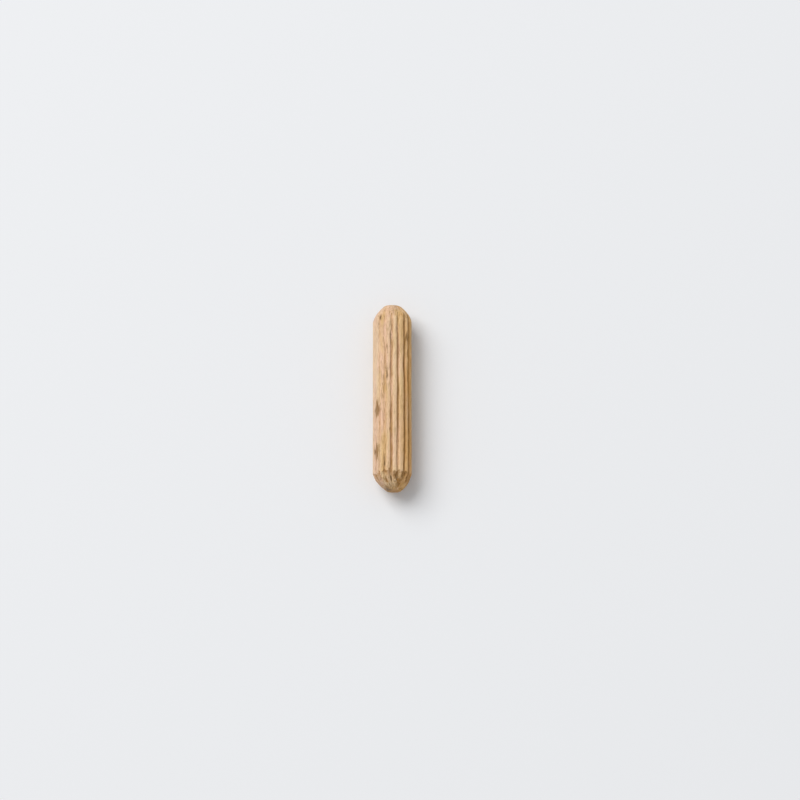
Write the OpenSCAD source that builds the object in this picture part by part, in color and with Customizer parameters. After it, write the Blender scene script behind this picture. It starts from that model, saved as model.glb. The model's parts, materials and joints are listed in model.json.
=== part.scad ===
// Fluted dowel pin: a short beech pin, glued into facing holes to join two boards. One piece.
//
// The rod is planed round and the flutes are rolled into it lengthwise, to let glue and air out of
// the blind holes. It is then sawn to length and milled to a chamfer at each end, so the chamfers
// cut through the flutes and each flute runs out on them.
//
// Frame: the pin lies on z = 0 with its axis along Y, and the origin is under its middle. A flute
// faces straight down, and the pin rests on the two ridges beside it.

/* [Pin] */
// Diameter over the ridges, slightly more than the 8 mm hole, so that they bite
pin_d = 8.2; // [6:0.1:12]
// Length between the sawn ends
pin_l = 40; // [25:0.5:60]

/* [Ends] */
// Diameter of the flat that the saw leaves at each end
end_flat_d = 3.7; // [2.5:0.1:5]
// Length of each chamfer along the pin
chamfer_l = 3.2; // [2:0.1:5]
// How far the chamfer bulges out beyond a straight cone
chamfer_crown = 0.27; // [0.05:0.01:0.4]

/* [Flutes] */
// Number of flutes round the pin
flute_count = 18; // [8:2:20]
// Width of a flute between its straight sides, at the pin's outside
flute_w = 0.56; // [0.4:0.01:0.8]
// Depth of a flute below the full diameter
flute_depth = 0.42; // [0.3:0.01:0.6]
// Radius in the bottom of a flute
flute_bottom_r = 0.1; // [0.05:0.01:0.15]

/* [Ridges] */
// Width of the band along the middle of each ridge that keeps the full diameter
ridge_band_w = 0.2; // [0.1:0.05:0.4]
// How far the arc on each half of a ridge is shifted sideways, so that it falls off to the flute
ridge_shift = 0.48; // [0.2:0.01:0.6]
// Radius on the long edges of the ridges
ridge_edge_r = 0.14; // [0.05:0.01:0.2]

/* [Hidden] */
$fn = 96;
wood = [0.86, 0.70, 0.50];

// How far cutters reach past the faces that they cut
overrun = 1;
// How deep two outlines that blend cross each other, so that they leave no sliver between them
crossing = 0.002;

pin_r = pin_d / 2;
half_pitch = 180 / flute_count;

// Ridge, open to +X: half the middle band, and the centre of the arc that carries on below it. The
// arc has the pin's own radius, and its centre is ridge_shift above the ridge's middle.
band_angle = asin(ridge_band_w / pin_d);
half_centre = [
    pin_r * cos(band_angle) - sqrt(pow(pin_r, 2) - pow(ridge_band_w / 2 + ridge_shift, 2)),
    ridge_shift
];

// Flute, open to +X: the ridge above it puts that centre here, and its band starts here.
ridge_centre = turned(half_centre, half_pitch);
band_start = pin_r * [cos(half_pitch - band_angle), sin(half_pitch - band_angle)];

// The flute's upper side: the middle of the round bottom, the side's lean and its two directions.
bottom_mid = [pin_r - flute_depth + flute_bottom_r, 0];
bottom_gap = flute_bottom_r - crossing;
side_reach = [sqrt(pow(pin_r, 2) - pow(flute_w / 2, 2)), flute_w / 2] - bottom_mid;
side_lean = atan2(side_reach.y, side_reach.x) - asin(bottom_gap / norm(side_reach));
side_along = [cos(side_lean), sin(side_lean)];
side_out = [-sin(side_lean), cos(side_lean)];

// Centre of the arc on the ridge's edge, as far inside the side as inside the ridge's own arc.
edge_gap = ridge_edge_r - crossing;
edge_start = bottom_mid + (bottom_gap + edge_gap) * side_out - ridge_centre;
edge_rise = sqrt(pow(edge_start * side_along, 2) - edge_start * edge_start + pow(pin_r - edge_gap, 2))
    - edge_start * side_along;
edge_centre = ridge_centre + edge_start + edge_rise * side_along;

// Height of the axis when that flute faces down. The ridge touches the surface where its outline is
// lowest, which is on the edge's arc, on the ridge's arc or at the start of the band.
axis_z = edge_centre.y > ridge_centre.y ? edge_centre.x + ridge_edge_r
    : band_start.y > ridge_centre.y ? ridge_centre.x + pin_r
    : band_start.x;

// Chamfer: its outline is an arc from the shoulder to the rim of the end flat.
shoulder = [pin_r, pin_l / 2 - chamfer_l];
rim = [end_flat_d / 2, pin_l / 2];
chord = rim - shoulder;
crown_r = (pow(norm(chord) / 2, 2) + pow(chamfer_crown, 2)) / (2 * chamfer_crown);
crown_centre = (shoulder + rim) / 2 + (crown_r - chamfer_crown) * [-chord.y, chord.x] / norm(chord);

function turned(p, angle) = [
    p.x * cos(angle) - p.y * sin(angle),
    p.x * sin(angle) + p.y * cos(angle)
];

function mirrored(p) = [p.x, -p.y];

// The round section with both ridges beside one flute falling off towards it
module crowned_sides() {
    for (centre = [ridge_centre, mirrored(ridge_centre)])
        translate(centre) circle(r = pin_r);
}

// What one flute takes out: two straight sides, the round bottom, and the rounding of both edges
module flute_section() {
    bottom = bottom_mid + bottom_gap * side_out;
    side_top = edge_centre - edge_gap * side_out;
    lip = ridge_centre + (edge_centre - ridge_centre) * (pin_r + overrun) / (pin_r - edge_gap);
    upper = [bottom, side_top, edge_centre, lip];
    difference() {
        union() {
            polygon(concat(upper, [for (i = [len(upper) - 1 : -1 : 0]) mirrored(upper[i])]));
            translate(bottom_mid) circle(r = flute_bottom_r);
        }
        for (centre = [edge_centre, mirrored(edge_centre)])
            translate(centre) circle(r = ridge_edge_r);
    }
}

module fluted_section() {
    difference() {
        intersection() {
            circle(r = pin_r);
            intersection_for (i = [0 : flute_count - 1])
                rotate(i * 360 / flute_count) crowned_sides();
        }
        for (i = [0 : flute_count - 1])
            rotate(i * 360 / flute_count) flute_section();
    }
}

// What the milling cutters leave at one end: radius along X, length along Y
module end_outline() {
    intersection() {
        square([pin_r + overrun, pin_l / 2]);
        union() {
            square([pin_r + overrun, crown_centre.y]);
            translate(crown_centre) circle(r = crown_r, $fn = 360);
        }
    }
}

module milled_ends() {
    rotate_extrude()
        for (end = [0, 1])
            mirror([0, end]) end_outline();
}

// Made upright with the first flute towards +X, then laid along Y with that flute facing down
module dowel_pin() {
    color(wood)
        translate([0, 0, axis_z])
            rotate([90, 90, 0])
                intersection() {
                    linear_extrude(pin_l + 2 * overrun, center = true) fluted_section();
                    milled_ends();
                }
}

dowel_pin();
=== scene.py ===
"""A fluted beech dowel pin, lying on a pale surface under soft light.

Everything is in metres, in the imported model's frame.
"""
import json
import math

import bpy
import numpy as np
from mathutils import Matrix, Vector


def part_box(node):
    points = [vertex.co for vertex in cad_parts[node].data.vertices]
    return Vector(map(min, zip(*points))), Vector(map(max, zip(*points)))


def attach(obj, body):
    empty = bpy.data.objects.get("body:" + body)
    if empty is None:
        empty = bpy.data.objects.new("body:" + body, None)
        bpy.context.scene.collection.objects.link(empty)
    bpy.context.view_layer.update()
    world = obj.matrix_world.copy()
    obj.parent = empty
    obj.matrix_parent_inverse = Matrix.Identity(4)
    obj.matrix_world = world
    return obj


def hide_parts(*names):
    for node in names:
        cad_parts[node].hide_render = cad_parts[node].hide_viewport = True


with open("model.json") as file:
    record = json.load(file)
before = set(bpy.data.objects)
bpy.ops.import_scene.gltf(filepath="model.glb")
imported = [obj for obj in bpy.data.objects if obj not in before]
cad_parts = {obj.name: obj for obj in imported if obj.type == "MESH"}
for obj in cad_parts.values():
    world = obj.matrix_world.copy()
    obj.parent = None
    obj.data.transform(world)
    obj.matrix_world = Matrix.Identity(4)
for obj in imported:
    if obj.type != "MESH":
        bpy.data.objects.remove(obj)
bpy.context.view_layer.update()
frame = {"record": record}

# ---------------------------------------------------------------------------------------------
# The view. The pin is looked down on through a long lens, from a little beyond its front end and
# a few degrees round to its right, with its length kept upright in the picture.
VIEW_WIDTH = 0.1682                     # seen across the picture, at the pin's axis
VIEW_DISTANCE = 1.2
VIEW_ELEVATION = math.radians(75)
VIEW_TURN = math.radians(2.2)
AIM_RIGHT, AIM_UP = 0.00163, -0.00026   # from the pin's middle to the middle of the picture
FILM_WIDTH = 36                         # in millimetres, as the lens is
NEAREST, FARTHEST = 0.01, 20

front_mount = next(m for m in frame["record"]["mounts"] if m["name"] == "front_end")
axis_height = front_mount["pos_m"][2]
towards = Vector((math.sin(VIEW_TURN) * math.sin(VIEW_ELEVATION),
                  -math.cos(VIEW_ELEVATION),
                  math.cos(VIEW_TURN) * math.sin(VIEW_ELEVATION))).normalized()
picture_right = Vector((0, 1, 0)).cross(towards).normalized()
picture_up = towards.cross(picture_right)
camera = bpy.data.objects.new("camera", bpy.data.cameras.new("camera"))
camera.data.sensor_width = FILM_WIDTH
camera.data.lens = FILM_WIDTH * VIEW_DISTANCE / VIEW_WIDTH
camera.data.clip_start, camera.data.clip_end = NEAREST, FARTHEST
camera.location = (Vector((0, 0, axis_height)) + AIM_RIGHT * picture_right + AIM_UP * picture_up
                   + VIEW_DISTANCE * towards)
camera.rotation_mode = "QUATERNION"
camera.rotation_quaternion = Matrix(
    (picture_right, picture_up, towards)).transposed().to_quaternion()
bpy.context.scene.collection.objects.link(camera)
bpy.context.scene.camera = camera

# ---------------------------------------------------------------------------------------------
# The surface: a wide sheet of matt pale grey card, cut square and laid flat. The pin lies on it,
# and it isn't part of the pin.
CARD_SIDE = 4.0
CARD_COLOUR = (0.840, 0.852, 0.872, 1)
CARD_ROUGHNESS = 0.9

half_card = CARD_SIDE / 2
card_mesh = bpy.data.meshes.new("card")
card_mesh.from_pydata([(-half_card, -half_card, 0), (half_card, -half_card, 0),
                       (half_card, half_card, 0), (-half_card, half_card, 0)], [], [(0, 1, 2, 3)])
card = bpy.data.objects.new("card", card_mesh)
bpy.context.scene.collection.objects.link(card)
matt_card = bpy.data.materials.new("matt pale card")
matt_card.use_nodes = True
card_shader = matt_card.node_tree.nodes["Principled BSDF"]
card_shader.inputs["Base Color"].default_value = CARD_COLOUR
card_shader.inputs["Roughness"].default_value = CARD_ROUGHNESS
card_shader.inputs["Specular IOR Level"].default_value = 0.0
card_mesh.materials.append(matt_card)

# ---------------------------------------------------------------------------------------------
# The light: one broad soft lamp on the left, well beyond the far end, and a pale room
# that fills the shadows. Together they light a level white sheet to white.
LAMP_LIGHT = 0.605                      # how bright each alone makes a level white sheet
ROOM_LIGHT = 0.47
ROOM_COLOUR = (1.0, 1.0, 1.0, 1)
LAMP_SIDE = 2.15
LAMP_DISTANCE = 3.0
LAMP_ELEVATION = math.radians(49.5)
LAMP_BEARING = math.radians(138)        # from +X towards +Y

lamp_from = Vector((math.cos(LAMP_ELEVATION) * math.cos(LAMP_BEARING),
                    math.cos(LAMP_ELEVATION) * math.sin(LAMP_BEARING),
                    math.sin(LAMP_ELEVATION)))
lamp_data = bpy.data.lights.new("broad lamp", "AREA")
lamp_data.shape = "SQUARE"
lamp_data.size = LAMP_SIDE
# A level white sheet's brightness is the power times the sine of the lamp's elevation, over the
# square of pi times the distance.
lamp_data.energy = LAMP_LIGHT * math.pi ** 2 * LAMP_DISTANCE ** 2 / math.sin(LAMP_ELEVATION)
lamp = bpy.data.objects.new("broad lamp", lamp_data)
lamp.location = LAMP_DISTANCE * lamp_from
lamp.rotation_mode = "QUATERNION"
lamp.rotation_quaternion = lamp_from.to_track_quat("Z", "Y")
lamp.visible_camera = False
bpy.context.scene.collection.objects.link(lamp)

room = bpy.data.worlds.new("pale room")
room.use_nodes = True
room_light = room.node_tree.nodes["Background"]
room_light.inputs["Color"].default_value = ROOM_COLOUR
room_light.inputs["Strength"].default_value = ROOM_LIGHT
bpy.context.scene.world = room
bpy.context.scene.view_settings.view_transform = "Standard"

# ---------------------------------------------------------------------------------------------
# The dowel pin: one short rod of beech. It is planed round, fluted lengthwise between rollers,
# sawn to length and milled to a rough chamfer at each end, which cuts through the flutes.
MM = 0.001
SEED = 18                               # the same chance on every run
LATTICE_REACH = 1.1                     # each way from the pin's middle, in half lengths
SPARE_ROWS, LAST_CELL = 3, 2.001        # rows past the lattice's end, and those no point enters
END_SPAN = 20 * MM                      # a lattice that is wider than the pin's end

pin_low, pin_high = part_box("dowel_pin")
pin_r = front_mount["dims"]["r_mm"] * MM
body_length = front_mount["dims"]["length_mm"] * MM
half_length = (pin_high[1] - pin_low[1]) / 2
chamfer_length = half_length - body_length / 2
dice = np.random.default_rng(SEED)


def uneven(turn, along, cells_round, cell_length, octaves=1):
    """Smooth chance heights from -1 to 1: values at the corners of a lattice that closes round the
    pin, blended between corners with the curve 3t^2 - 2t^3. Each further octave has cells of half
    the size and half the height. The turn is in whole turns, along is in metres."""
    total = np.zeros(np.broadcast(turn, along).shape)
    for octave in range(octaves):
        cells = cells_round * 2 ** octave
        length = cell_length / 2 ** octave
        rows = int(math.ceil(2 * LATTICE_REACH * half_length / length)) + SPARE_ROWS
        corner = dice.uniform(-1, 1, (rows, cells))
        u = (turn % 1.0) * cells
        v = np.clip((along + LATTICE_REACH * half_length) / length, 0, rows - LAST_CELL)
        column, row = np.floor(u).astype(int), np.floor(v).astype(int)
        s, t = u - column, v - row
        s, t = s * s * (3 - 2 * s), t * t * (3 - 2 * t)
        column, beside = column % cells, (column + 1) % cells
        near = corner[row, column] * (1 - s) + corner[row, beside] * s
        far = corner[row + 1, column] * (1 - s) + corner[row + 1, beside] * s
        total += (near * (1 - t) + far * t) / 2 ** octave
    return total / sum(0.5 ** octave for octave in range(octaves))


def end_noise(across, up, cell, octaves=1):
    """The same chance heights on a flat grid that faces the pin's end, with square cells."""
    return uneven(across / END_SPAN + 0.5, up, int(round(END_SPAN / cell)), cell, octaves)


def ramp(x, low, high):
    """0 below low, 1 above high, and 3t^2 - 2t^3 between them."""
    t = np.clip((x - low) / (high - low), 0, 1)
    return t * t * (3 - 2 * t)


def round_the_pin(turn, degrees):
    """Distance round the pin from a line at so many degrees, in metres."""
    return ((turn - degrees / 360 + 0.5) % 1.0 - 0.5) * 2 * np.pi * pin_r


# The flutes. The first one is at the top and the rest follow towards +X. The rollers pressed each
# one to its own share of the depth, less on one side of the pin, and so many pitches off its
# place.
FLUTES = 18
FLUTE_DEPTH = 0.42 * MM
FLUTE_BITE = np.array([0.86, 0.82, 1.10, 1.30, 1.02, 0.94, 1.05, 0.97, 1.00,
                       1.03, 0.92, 1.06, 0.98, 0.90, 0.72, 0.50, 0.46, 0.52])
FLUTE_SHIFT = np.array([-0.02, 0.05, 0.20, 0.20, 0.08, -0.03, 0.05, 0.00, -0.04,
                        0.03, 0.00, -0.05, 0.02, 0.04, -0.03, 0.03, 0.05, -0.02])
FLUTE_FLOOR, FLUTE_EDGE = 0.18, 0.60    # where its floor and its side end, in half pitches
EDGE_LEAST, EDGE_BY_BITE = 0.38, 0.62   # shares of that edge: a deep flute is a wide one
BITE_CHANGE, WEAK_BITE_CHANGE = 0.34, 0.75  # along a flute, and more where the bite is weak
BITE_RANGE = 0.08, 1.5
RIDGE_CROWN = 0.055 * MM
PLANED_OFF = 0.020 * MM                 # how far the ridges stay inside the full radius
CREST_DIP = 0.35                        # a point that lies deeper than this is on no crest
RUBBED_FROM, RUBBED_FULLY = 0.50, 0.90  # the bites between which the crests are lightened, for the rollers' rubbing and a painted highlight
# What is uneven: how much, then its cells round the pin, the cells' length and the octaves.
LINE_WANDER, LINE_CELLS = 0.12, (FLUTES, 4 * MM, 3)
BITE_CELLS = FLUTES, 3.5 * MM, 2
EDGE_TEAR, TEAR_CELLS = 0.20, (72, 1.3 * MM, 2)
FIBRE_LIFT, FIBRE_CELLS = 0.010 * MM, (180, 2.4 * MM, 2)
WAVE_LIFT, WAVE_CELLS = 0.028 * MM, (20, 5 * MM, 2)


def fluted_section(turn, along):
    """Radius of the fluted rod, how deep in a flute each point lies, and how hard the rollers
    rubbed it where it is on a crest, which the colour also lightens as a painted highlight. A
    flute has a level floor, and two sides that rise as 3t^2 - 2t^3 to torn edges. A ridge falls
    off on both sides with the square of the distance from its middle. Fibres and long waves are
    added to both."""
    flute = np.round(turn * FLUTES).astype(int) % FLUTES
    line = flute / FLUTES
    bite = FLUTE_BITE[flute]
    off_place = FLUTE_SHIFT[flute] + LINE_WANDER * uneven(line, along, *LINE_CELLS)
    from_floor = np.minimum(np.abs((turn * FLUTES + 0.5) % 1.0 - 0.5 - off_place) * 2, 1)
    patchy = BITE_CHANGE + WEAK_BITE_CHANGE * np.clip(1 - bite, 0, 1)
    pressed = np.clip(bite * (1 + patchy * uneven(line, along, *BITE_CELLS)), *BITE_RANGE)
    edge = (FLUTE_EDGE * (EDGE_LEAST + EDGE_BY_BITE * bite)
            + EDGE_TEAR * uneven(turn, along, *TEAR_CELLS))
    dip = pressed * (1 - ramp(from_floor, FLUTE_FLOOR, edge))
    fall = RIDGE_CROWN * np.clip((1 - from_floor) / (1 - edge), 0, 1) ** 2
    fibres = FIBRE_LIFT * uneven(turn, along, *FIBRE_CELLS)
    waves = WAVE_LIFT * uneven(turn, along, *WAVE_CELLS)
    press = np.interp(turn * FLUTES, np.arange(FLUTES + 1), np.append(FLUTE_BITE, FLUTE_BITE[0]))
    # The crests are lightened for the rollers' rubbing and with a painted highlight.
    crest = (1 - ramp(dip, 0, CREST_DIP)) * ramp(press, RUBBED_FROM, RUBBED_FULLY)
    return pin_r - PLANED_OFF - fall - FLUTE_DEPTH * dip + fibres + waves, dip, crest


# The chamfers. The front cutter was blunt: it tore the wood, ran off the axis and reached further
# up the pin than the back one.
FRONT_FLAT_R, BACK_FLAT_R = 1.50 * MM, 1.85 * MM
CHAMFER_CROWN = 0.33 * MM
FRONT_OFFSET, FRONT_EARLY = 0.26 * MM, 0.15 * MM
FRONT_ROUGH, BACK_ROUGH = 1.0, 0.50
# The shoulder, in millimetres: it drifts, is chipped, and broke off where a chip is over a limit.
SHOULDER_DRIFT, SHOULDER_CHIP, SHOULDER_BREAK = 0.14, 0.26, 0.52
CHIP_LIMIT = 0.22
DRIFT_CELLS = 18, half_length
CHIP_CELLS = 60, half_length, 2
# The slope: flats, ripples and crumbs, which fade out over the last of it.
FLAT_CUT, FLAT_CELLS = 0.09 * MM, (11, half_length)
RIPPLE, RIPPLE_CELLS = 0.07 * MM, (26, 0.8 * MM, 2)
CRUMB_DEPTH, CRUMB_LIMIT = 0.50 * MM, 0.04
CRUMB_CELLS = 0.62 * MM, 3
FADE_LENGTH = 0.30 * MM
# The rim of the end flat, which drifts and has its edge broken.
FRONT_RIM_DRIFT, BACK_RIM_DRIFT = 0.11 * MM, 0.07 * MM
RIM_CELLS = 14, half_length, 2
RIM_BREAK, RIM_BREAK_LENGTH = 0.05 * MM, 0.06 * MM
# The flutes tear on down the front slope. They are gone at the first share of it from the end,
# and whole from the second one.
TEAR_DEPTH = 0.24 * MM
TEAR_FROM, TEAR_TO = 0.22, 0.85
DEEPEST_DIP = 1.2
TEAR_MEAN, TEAR_CHANGE, TEAR_PATCHES = 0.75, 0.8, (40, 0.9 * MM, 2)


def milled_slope(turn, along, dip):
    """Radius that the cutters leave, the depth of its crumbs, and how torn each point is. With s
    the share of the chamfer from the end, the radius grows from the end flat to the full radius
    along a slope that bulges by four times its crown times s(1 - s), and goes on straight beyond
    it. A drifting and chipped shoulder lowers the slope in proportion to s. Flats, ripples and
    torn-out crumbs are cut into it and fade out at the rim, and at the front the flutes tear on
    down it."""
    from_end = half_length - np.abs(along)
    front = along < 0
    flat_r = np.where(front, FRONT_FLAT_R, BACK_FLAT_R)
    rough = np.where(front, FRONT_ROUGH, BACK_ROUGH)
    s = from_end / chamfer_length
    slant = (pin_r - flat_r) / chamfer_length
    slope = flat_r + slant * from_end + 4 * CHAMFER_CROWN * np.clip(s * (1 - s), 0, 1)
    drift = uneven(turn, 0 * along, *DRIFT_CELLS)
    chips = uneven(turn, 0 * along, *CHIP_CELLS)
    early = (np.where(front, FRONT_EARLY, 0)
             + rough * MM * (SHOULDER_DRIFT * drift + SHOULDER_CHIP * chips
                             + SHOULDER_BREAK * np.clip(chips - CHIP_LIMIT, 0, 1)))
    across, up = slope * np.sin(2 * np.pi * turn), slope * np.cos(2 * np.pi * turn)
    flats = FLAT_CUT * np.abs(uneven(turn, 0 * along, *FLAT_CELLS))
    ripples = RIPPLE * uneven(turn, along, *RIPPLE_CELLS)
    crumbs = CRUMB_DEPTH * np.clip(end_noise(across, up, *CRUMB_CELLS) - CRUMB_LIMIT, 0, 1)
    away = ramp(from_end, 0, FADE_LENGTH)
    crumbs = crumbs * rough * away
    rim_drift = (np.where(front, FRONT_RIM_DRIFT, BACK_RIM_DRIFT)
                 * uneven(turn, 0 * along, *RIM_CELLS))
    rim_break = RIM_BREAK * np.exp(-from_end / RIM_BREAK_LENGTH)
    torn = np.where(front, np.clip(dip, 0, DEEPEST_DIP) * ramp(s, TEAR_FROM, TEAR_TO), 0)
    torn = torn * (TEAR_MEAN + TEAR_CHANGE * uneven(turn, along, *TEAR_PATCHES))
    slope = slope - slant * early * ramp(s, 0, 1) - rough * (flats - ripples) * away - crumbs
    return slope - TEAR_DEPTH * torn + rim_drift - rim_break, crumbs, torn


# Clefts that opened along the grain. In degrees from the top towards +X, and then in millimetres:
# the place along the pin, half the width, half the length, and the depth.
CLEFTS = (
    (-3, -17.9, 0.18, 0.70, 0.32), (-15, -19.2, 0.15, 0.42, 0.18), (17, -17.7, 0.20, 0.85, 0.26),
    (-57, -18.5, 0.16, 0.24, 0.13), (-32, -17.3, 0.15, 0.28, 0.13), (37, -19.1, 0.20, 0.30, 0.12),
    (-13.5, 9.8, 0.22, 1.2, 0.17), (-14.5, 4.4, 0.25, 2.6, 0.18), (-23, -14.6, 0.17, 1.8, 0.20),
    (-38, 17.0, 0.20, 0.55, 0.24), (-44.5, 14.9, 0.19, 0.90, 0.20),
    (165, -18.1, 0.17, 0.60, 0.14), (118, -18.4, 0.15, 0.45, 0.14), (150, 4.0, 0.15, 2.1, 0.11),
    (-110, -5.0, 0.13, 2.6, 0.10), (-4, 13.4, 0.20, 2.2, 0.15), (18, 13.4, 0.22, 2.4, 0.15))
CLEFT_WANDER, WANDER_CELLS = 0.10 * MM, (4, 0.9 * MM, 2)
RAGGED_MEAN, RAGGED_CHANGE, RAGGED_CELLS = 0.95, 0.75, (150, 0.45 * MM, 2)
RAGGED_RANGE = 0.7, 2
DEPTH_CHANGE, DEPTH_CELLS = 0.5, (90, 0.7 * MM)


def clefts(turn, along):
    """Depth of the narrow clefts that run along the grain: exp(-a^2 - b^4) of each one's depth, a
    across it in ragged half widths and b along it in half lengths, with the line of the cleft let
    wander a little."""
    wander = CLEFT_WANDER * uneven(0 * turn + 0.5, along, *WANDER_CELLS)
    ragged = np.clip(RAGGED_MEAN + RAGGED_CHANGE * uneven(turn, along, *RAGGED_CELLS),
                     *RAGGED_RANGE)
    total = np.zeros(np.broadcast(turn, along).shape)
    for degrees, place, width, length, depth in CLEFTS:
        a = (round_the_pin(turn, degrees) + wander) / (width * MM * ragged)
        b = (along - place * MM) / (length * MM)
        total = np.maximum(total, depth * MM * np.exp(-a ** 2 - b ** 4))
    return total * (1 + DEPTH_CHANGE * uneven(turn, along, *DEPTH_CELLS))


# Brown flecks, where a ray lies open: the same numbers, but the last one is a strength.
FLECKS = (
    (-51.5, -2.9, 0.74, 1.50, 1.62), (-53.2, -12.0, 0.60, 1.80, 1.32),
    (-37, 17.0, 0.30, 0.75, 0.95), (34, -17.3, 0.50, 0.70, 0.62), (50, 12.6, 0.30, 1.40, 0.95),
    (112, 3.0, 0.26, 1.50, 0.62), (-128, 9.0, 0.28, 1.30, 0.62))
FLECK_EDGE = 1.75                       # in half widths and half lengths from its middle


def flecks(turn, along):
    """Strength of the brown flecks: full in the middle of each oval, and falling as 3t^2 - 2t^3
    to none at its edge."""
    total = np.zeros(np.broadcast(turn, along).shape)
    for degrees, place, width, length, strength in FLECKS:
        out = np.hypot(round_the_pin(turn, degrees) / (width * MM),
                       (along - place * MM) / (length * MM))
        total = np.maximum(total, strength * (1 - ramp(out, 0.0, FLECK_EDGE)))
    return total


# Where the chamfers meet the flutes, and how far the clefts stop short of the ends.
FRONT_JOIN, BACK_JOIN = 0.035 * MM, 0.12 * MM
CLEFT_FADE = 0.3 * MM
# How far the slope lies below the flutes where the wood begins to look milled, and where it looks
# fully so at the front and at the back.
MILLED_FROM, FRONT_MILLED, BACK_MILLED = -0.02 * MM, 0.06 * MM, 0.24 * MM
# How dark the milled wood is. The back chamfer darkens towards its rim.
FRONT_TONE, BACK_TONE, BACK_RIM_TONE = 0.69, 0.07, 0.34
TONE_MEAN, TONE_CHANGE, TONE_CELLS = 0.66, 0.95, (40, 0.7 * MM, 2)
CRUMB_TONE, TORN_TONE = 3.4, 0.30       # painted shade in crumbs and torn flutes: the first one for each millimetre of a crumb's depth
TORN_GROOVE = 0.62                      # in the painted groove shade, a torn flute counts as so much of a pressed one
FULL_CLEFT = 0.16 * MM                  # a cleft this deep counts as 1


def pin_side(turn, along):
    """Radius of the pin's side, and at each point the masks for the painted shade in the grooves,
    the rubbed crest with its painted highlight, the milled wood with painted shade in its hollows,
    and the cleft, whose mask carries painted shade. The radius is the lesser of the fluted section
    and the milled slope, less the clefts. The two are joined over a few hundredths of a
    millimetre: with h going from 0 to 1 across the join, the join's width times h(1 - h) comes
    off."""
    front = along < 0
    from_end = half_length - np.abs(along)
    section, dip, crest = fluted_section(turn, along)
    slope, crumbs, torn = milled_slope(turn, along, dip)
    join = np.where(front, FRONT_JOIN, BACK_JOIN)
    h = np.clip(0.5 + 0.5 * (slope - section) / join, 0, 1)
    radius = section * h + slope * (1 - h) - join * h * (1 - h)
    cleft = clefts(turn, along) * ramp(from_end, 0, CLEFT_FADE)
    milled = ramp(section - radius, MILLED_FROM, np.where(front, FRONT_MILLED, BACK_MILLED))
    to_rim = np.clip(1 - from_end / chamfer_length, 0, 1)
    tone = np.where(front, FRONT_TONE, BACK_TONE + BACK_RIM_TONE * to_rim ** 2)
    tone = tone * (TONE_MEAN + TONE_CHANGE * uneven(turn, along, *TONE_CELLS))
    # Crumbs and torn flutes darken the milled wood by their depth: painted shade.
    cut_face = milled * (tone + front * (CRUMB_TONE * crumbs / MM + TORN_TONE * torn))
    # Painted shade in the flutes, darker the deeper each point lies.
    groove = np.clip(dip, 0, DEEPEST_DIP) * (1 - milled) + TORN_GROOVE * torn * milled
    return radius - cleft, groove, crest * (1 - milled), cut_face, cleft / FULL_CLEFT


# The grid: points round the pin, and rows that lie closer at the ends.
AROUND = 396
FRONT_ZONE, BACK_ZONE = 4.4 * MM, 3.8 * MM
FRONT_ROWS, BODY_ROWS, BACK_ROWS, FLAT_ROWS = 60, 133, 36, 12
FLAT_CROWDING = 1.7                     # crowds the rows on the end flats towards the rim
# The end flats: torn grain, and the score lines that the saw left across them.
END_CELLS = 0.4 * MM, 2
SCORE_PITCH, SCORE_ANGLE = 0.34 * MM, 0.6
SCORE_DEPTH, SCORE_SWAY, TORN_END = 0.009 * MM, 2.5, 0.012 * MM
# The front flat's deeper tone is end grain and painted shade on the end that faces away from the
# lamp.
FRONT_END_TONE, BACK_END_TONE, END_TONE_CHANGE = 1.12, 0.44, 0.4
CUT_TONE_CHANGE, DARKEST_TONE = 0.75, 1.6
# Painted shade on two sides of the pin: a warmer, darker tint on the side away from the lamp, and
# a duller, darker one on the side that faces it. For each: its angle from the top, and the cosines
# of the angle away from there at which the tint begins and is full.
WARM_AT, WARM_FROM, WARM_FULLY = math.radians(70), 0.55, 0.98
WARM_MEAN, WARM_CHANGE, WARM_CELLS = 0.80, 0.5, (12, 6 * MM, 2)
DULL_AT, DULL_FROM, DULL_FULLY = math.radians(-80), 0.68, 1.0
# Painted shade on the front rim, where the end faces away from the lamp, which fades as exp(-a^2 -
# b^2).
RIM_SHADE_AT, RIM_SHADE_WIDTH, RIM_SHADE_LENGTH = -50, 2.2 * MM, 0.55 * MM


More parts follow.
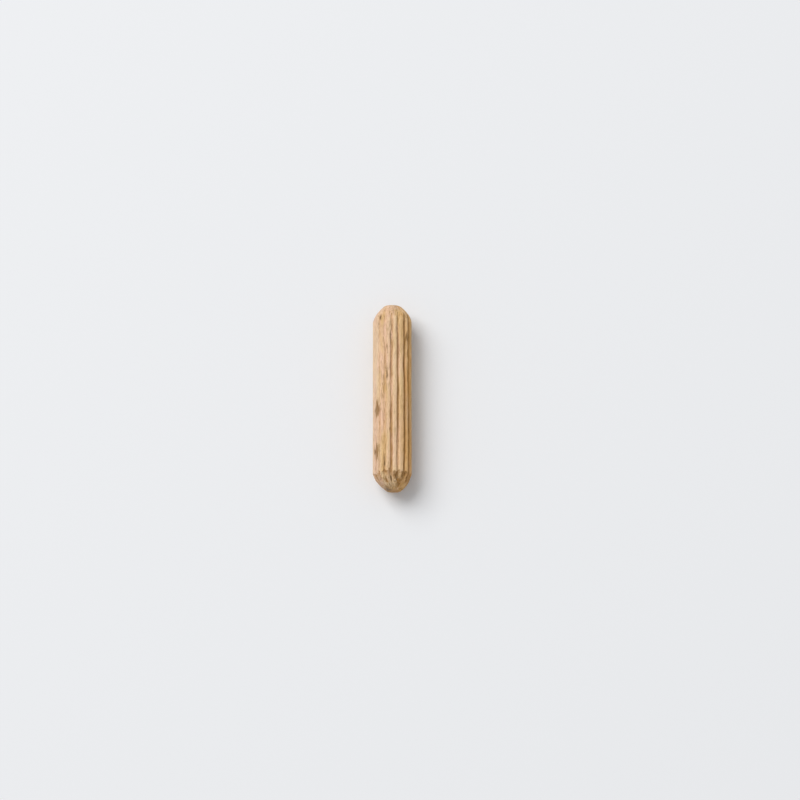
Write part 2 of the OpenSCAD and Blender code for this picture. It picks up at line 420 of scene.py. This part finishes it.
def pin_surface():
    """The pin as a grid, angle round it by rows along it, and the marks on each point. Each end
    flat is the side's last row drawn in towards the middle, and saw scores cut it as 1 + sin,
    swayed by the torn grain. The front end is set aside, by an offset that dies out as
    3t^2 - 2t^3 over the chamfer."""
    body_end = 2 * half_length - BACK_ZONE
    side = np.concatenate([np.linspace(0, FRONT_ZONE, FRONT_ROWS, endpoint=False),
                           np.linspace(FRONT_ZONE, body_end, BODY_ROWS, endpoint=False),
                           np.linspace(body_end, 2 * half_length, BACK_ROWS)])
    along = side[:, None] - half_length
    turn = (np.arange(AROUND) / AROUND)[None, :]
    radius, groove, crest, cut_face, cleft = pin_side(turn, along)

    drawn_in = 1 - (1 - np.linspace(0, 1, FLAT_ROWS + 1)[1:-1]) ** FLAT_CROWDING
    last = len(side) - 1
    source = np.concatenate([np.zeros(FLAT_ROWS - 1, int), np.arange(last + 1),
                             np.full(FLAT_ROWS - 1, last)])
    size = np.concatenate([drawn_in, np.ones(last + 1), drawn_in[::-1]])[:, None]
    on_flat = size < 1
    at_end = ((source == 0) | (source == last))[:, None]
    radius, along = radius[source] * size, along[source]
    across, up = radius * np.sin(2 * np.pi * turn), radius * np.cos(2 * np.pi * turn)
    torn_end = end_noise(across, up, *END_CELLS)
    wave = (2 * np.pi * (across * math.cos(SCORE_ANGLE) + up * math.sin(SCORE_ANGLE))
            / SCORE_PITCH)
    scores = SCORE_DEPTH * (1 + np.sin(wave + SCORE_SWAY * torn_end)) + TORN_END * (1 + torn_end)
    y = along - np.sign(along) * np.where(at_end, scores, 0)
    aside = FRONT_OFFSET * (1 - ramp(along, -half_length, chamfer_length - half_length))
    points = np.stack([across + aside, y, axis_height + up], -1)

    end_tone = (np.where(along < 0, FRONT_END_TONE, BACK_END_TONE)
                + END_TONE_CHANGE * torn_end)
    cut_tone = np.clip(cut_face[source] * (1 + CUT_TONE_CHANGE * torn_end), 0, DARKEST_TONE)
    # Painted shade on the front rim.
    rim_shade_mask = np.exp(-(round_the_pin(turn, RIM_SHADE_AT) / RIM_SHADE_WIDTH) ** 2
                   - ((along + half_length) / RIM_SHADE_LENGTH) ** 2)
    marks = {
        "groove": groove[source] * ~on_flat,
        "crest": crest[source] * ~on_flat,
        # End grain on the milled wood, with painted shade in its hollows and on the front flat.
        "cut_face": np.where(on_flat, end_tone, cut_tone),
        # Painted shade: a warmer tint on the side away from the lamp, a duller one on the side
        # that faces it.
        "warm_side": ramp(np.cos(2 * np.pi * turn - WARM_AT), WARM_FROM, WARM_FULLY)
        * (WARM_MEAN + WARM_CHANGE * uneven(turn, along, *WARM_CELLS)),
        "dull_side": ramp(np.cos(2 * np.pi * turn - DULL_AT), DULL_FROM, DULL_FULLY),
        "fleck": flecks(turn, along) * size ** 2,
        "cleft": cleft[source] * ~on_flat,
        "rim_stain": rim_shade_mask * size ** 2,
    }
    return points, marks


# The grid closes round the pin, and a fan of triangles closes each end flat at its middle.
points, marks = pin_surface()
row_count = len(points)
ring = np.arange(AROUND)
ring_next = (ring + 1) % AROUND
row_start = np.arange(row_count - 1)[:, None] * AROUND
here, beside = row_start + ring, row_start + ring_next
quads = np.stack([here, beside, beside + AROUND, here + AROUND], -1).reshape(-1, 4)
front_pole, last_row = row_count * AROUND, (row_count - 1) * AROUND
front_fan = np.stack([np.full(AROUND, front_pole), ring_next, ring], -1)
back_fan = np.stack([np.full(AROUND, front_pole + 1), last_row + ring, last_row + ring_next], -1)
corners = np.concatenate([points.reshape(-1, 3), [points[0].mean(0), points[-1].mean(0)]])
pin_mesh = bpy.data.meshes.new("beech_dowel_pin")
pin_mesh.from_pydata(corners.tolist(), [],
                     quads.tolist() + front_fan.tolist() + back_fan.tolist())
pin_mesh.polygons.foreach_set("use_smooth", np.ones(len(pin_mesh.polygons), bool))
for name, mark in marks.items():
    layer = pin_mesh.attributes.new(name, "FLOAT", "POINT")
    full = np.broadcast_to(mark, points.shape[:2]).ravel()
    layer.data.foreach_set("value",
                           np.concatenate([full, [full[0], full[-1]]]).astype(np.float32))
pin_mesh.update()
pin = bpy.data.objects.new("beech_dowel_pin", pin_mesh)
bpy.context.scene.collection.objects.link(pin)


def new_group(name, inputs, outputs):
    """A shader node group with the named sockets; gives the tree and its two ends."""
    tree = bpy.data.node_groups.new(name, "ShaderNodeTree")
    for direction, sockets in (("INPUT", inputs), ("OUTPUT", outputs)):
        for socket, kind in sockets:
            tree.interface.new_socket(socket, in_out=direction, socket_type=kind)
    return tree, tree.nodes.new("NodeGroupInput"), tree.nodes.new("NodeGroupOutput")


def stretched_noise(tree, vector, scale, detail, rough, turn_y):
    """Noise on the pin's own coordinates, with cells per metre along X, Y and Z."""
    mapping = tree.nodes.new("ShaderNodeMapping")
    mapping.inputs["Rotation"].default_value = (0, turn_y, 0)
    mapping.inputs["Scale"].default_value = scale
    noise = tree.nodes.new("ShaderNodeTexNoise")
    noise.inputs["Scale"].default_value = 1
    noise.inputs["Detail"].default_value = detail
    noise.inputs["Roughness"].default_value = rough
    tree.links.new(vector, mapping.inputs["Vector"])
    tree.links.new(mapping.outputs["Vector"], noise.inputs["Vector"])
    return noise.outputs["Fac"]


def levels(tree, value, low, high, to_low=0.0, to_high=1.0):
    """A value spread between two levels as 3t^2 - 2t^3, and held at the ends."""
    spread = tree.nodes.new("ShaderNodeMapRange")
    spread.interpolation_type = "SMOOTHSTEP"
    for socket, number in (("From Min", low), ("From Max", high),
                           ("To Min", to_low), ("To Max", to_high)):
        spread.inputs[socket].default_value = number
    tree.links.new(value, spread.inputs["Value"])
    return spread.outputs["Result"]


def calculate(tree, kind, first_value, second_value):
    """One arithmetic step between two sockets or numbers."""
    step = tree.nodes.new("ShaderNodeMath")
    step.operation = kind
    for socket, value in zip(step.inputs, (first_value, second_value)):
        if isinstance(value, (int, float)):
            socket.default_value = value
        else:
            tree.links.new(value, socket)
    return step.outputs[0]


def blend_colour(tree, amount, below, above):
    """Mixes two colours by a mask. Either colour may be a plain value or a socket."""
    mix = tree.nodes.new("ShaderNodeMix")
    mix.data_type = "RGBA"
    tree.links.new(amount, mix.inputs[0])
    for socket, colour in ((mix.inputs[6], below), (mix.inputs[7], above)):
        if isinstance(colour, tuple):
            socket.default_value = colour
        else:
            tree.links.new(colour, socket)
    return mix.outputs[2]


# Beech grain: fibres, streaks, slivers and pores that run along the pin, growth rings across it,
# the small brown rays, and pinker patches. For each: cells per metre along X, Y and Z, octaves
# past the first, how much each of those keeps, the tilt, and the levels that it is spread between.
RING_TILT = math.radians(39)
GRAIN = {
    "Fibre": ((8000, 380, 8000), 4, 0.65, 0, 0.30, 0.70),
    "Streaks": ((1900, 150, 1900), 2, 0.55, 0, 0.40, 0.62),
    "Slivers": ((3600, 300, 3600), 2, 0.55, 0, 0.58, 0.68),
    "Pores": ((15000, 1500, 15000), 1, 0.5, 0, 0.60, 0.70),
    "Rings": ((160, 12, 900), 2, 0.55, RING_TILT, 0.38, 0.62),
    "Rays": ((7600, 620, 2600), 0, 0.5, RING_TILT, 0.66, 0.72),
    "Patches": ((420, 95, 420), 2, 0.5, 0, 0.42, 0.60),
}
grain, grain_in, grain_out = new_group("beech grain", [("Place", "NodeSocketVector")],
                                       [(name, "NodeSocketFloat") for name in GRAIN])
for name, (scale, detail, keep, tilt, low, high) in GRAIN.items():
    noise = stretched_noise(grain, grain_in.outputs["Place"], scale, detail, keep, tilt)
    grain.links.new(levels(grain, noise, low, high), grain_out.inputs[name])

# Raw beech: the grain, then painted shade on the pin's sides, its rubbed crests with a painted
# highlight and painted shade in its grooves, then the milled ends with painted shade in their
# hollows, the flecks, painted shade in the clefts and painted shade on the front rim. The first
# ones are listed with the mask, how strongly it shows, and the colour.
PALE_BEECH = (0.90, 0.685, 0.440, 1)
WARM_BEECH = (0.75, 0.485, 0.225, 1)
# Painted shade in the flutes; the pores take the same colour.
PORE_AND_GROOVE_SHADE = (0.40, 0.198, 0.045, 1)
GRAIN_COLOURS = (
    ("Patches", 0.90, (0.90, 0.595, 0.455, 1)),
    ("Streaks", 0.42, WARM_BEECH),
    ("Fibre", 0.40, WARM_BEECH),
    ("Slivers", 0.66, (0.38, 0.225, 0.065, 1)),
    ("Rays", 0.40, (0.38, 0.200, 0.065, 1)),
    ("Pores", 0.40, PORE_AND_GROOVE_SHADE))
SIDE_COLOURS = (
    # Painted shade on the side that faces the lamp.
    ("dull_side", 0.60, (0.74, 0.530, 0.390, 1)),
    # Rubbed crests, lightened further by a painted highlight.
    ("crest", 0.52, (1.00, 0.750, 0.440, 1)),
    # Painted shade on the side away from the lamp.
    ("warm_side", 0.66, (0.86, 0.470, 0.130, 1)))
GROOVE_FROM, GROOVE_SHOWN = 0.40, 0.66
END_GRAIN, END_SHOWN, END_FIBRE = (0.47, 0.240, 0.072, 1), 0.42, 0.45
FLECK_BROWN, FLECK_RAGGED = (0.255, 0.115, 0.014, 1), 0.50
# Painted shade in the clefts.
CLEFT_SHADE = (0.17, 0.090, 0.030, 1)
# Painted shade on the front rim.
RIM_SHADE = (0.19, 0.120, 0.075, 1)
# The levels that the two masks are spread between, and then those that they are spread to.
FLECK_LEVELS, CLEFT_LEVELS = (0.24, 0.85, 0.0, 0.95), (0.25, 1.9, 0.0, 0.9)
FLECK_FIBRE, RIM_FIBRE = 0.70, 0.8      # what the palest fibres leave of a fleck or of the painted rim shade
SIDE_ROUGHNESS, CUT_ROUGHNESS = 0.62, 0.85
WOOD_SPECULAR = 0.3
FIBRE_RELIEF = 0.05 * MM

beech = bpy.data.materials.new("raw beech")
beech.use_nodes = True
wood = beech.node_tree
surface = wood.nodes["Principled BSDF"]
where = wood.nodes.new("ShaderNodeTexCoord")
figure = wood.nodes.new("ShaderNodeGroup")
figure.node_tree = grain
wood.links.new(where.outputs["Object"], figure.inputs["Place"])
fibre = figure.outputs["Fibre"]
made = {}
for name in marks:
    reader = wood.nodes.new("ShaderNodeAttribute")
    reader.attribute_name = name
    made[name] = reader.outputs["Fac"]

tone = blend_colour(wood, figure.outputs["Rings"], PALE_BEECH, WARM_BEECH)
for masks, colours in ((figure.outputs, GRAIN_COLOURS), (made, SIDE_COLOURS)):
    for name, shown, colour in colours:
        tone = blend_colour(wood, calculate(wood, "MULTIPLY", masks[name], shown), tone, colour)
# Painted shade in the flutes.
groove = levels(wood, made["groove"], GROOVE_FROM, 1.0)
tone = blend_colour(wood, calculate(wood, "MULTIPLY", groove, GROOVE_SHOWN), tone, PORE_AND_GROOVE_SHADE)
# The milled wood's end grain, with painted shade in its hollows and on the front flat.
end_shown = calculate(wood, "ADD", calculate(wood, "MULTIPLY", fibre, END_FIBRE), END_SHOWN)
end_grain = calculate(wood, "MULTIPLY", made["cut_face"], end_shown)
tone = blend_colour(wood, end_grain, tone, END_GRAIN)
frayed = calculate(wood, "SUBTRACT", calculate(wood, "ADD", fibre, figure.outputs["Streaks"]), 1.0)
frayed = calculate(wood, "MULTIPLY", frayed, FLECK_RAGGED)
fleck = levels(wood, calculate(wood, "ADD", made["fleck"], frayed), *FLECK_LEVELS)
fleck = calculate(wood, "MULTIPLY", fleck, levels(wood, fibre, 0.0, 1.0, FLECK_FIBRE, 1.0))
tone = blend_colour(wood, fleck, tone, FLECK_BROWN)
# Painted shade in the clefts, darker the deeper they are.
tone = blend_colour(wood, levels(wood, made["cleft"], *CLEFT_LEVELS), tone, CLEFT_SHADE)
# Painted shade on the front rim, broken up by the fibres.
rim_shade_amount = levels(wood, fibre, 0.0, 1.0, RIM_FIBRE, 1.0)
rim_shade_amount = calculate(wood, "MULTIPLY", made["rim_stain"], rim_shade_amount)
tone = blend_colour(wood, rim_shade_amount, tone, RIM_SHADE)
wood.links.new(tone, surface.inputs["Base Color"])
roughness = levels(wood, made["cut_face"], 0, 1, SIDE_ROUGHNESS, CUT_ROUGHNESS)
wood.links.new(roughness, surface.inputs["Roughness"])
surface.inputs["Specular IOR Level"].default_value = WOOD_SPECULAR
relief = wood.nodes.new("ShaderNodeBump")
relief.inputs["Strength"].default_value = 1.0
relief.inputs["Distance"].default_value = FIBRE_RELIEF
fibres_less_pores = calculate(wood, "SUBTRACT", fibre, figure.outputs["Pores"])
wood.links.new(fibres_less_pores, relief.inputs["Height"])
wood.links.new(relief.outputs["Normal"], surface.inputs["Normal"])
pin_mesh.materials.append(beech)

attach(pin, "root")
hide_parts("dowel_pin")
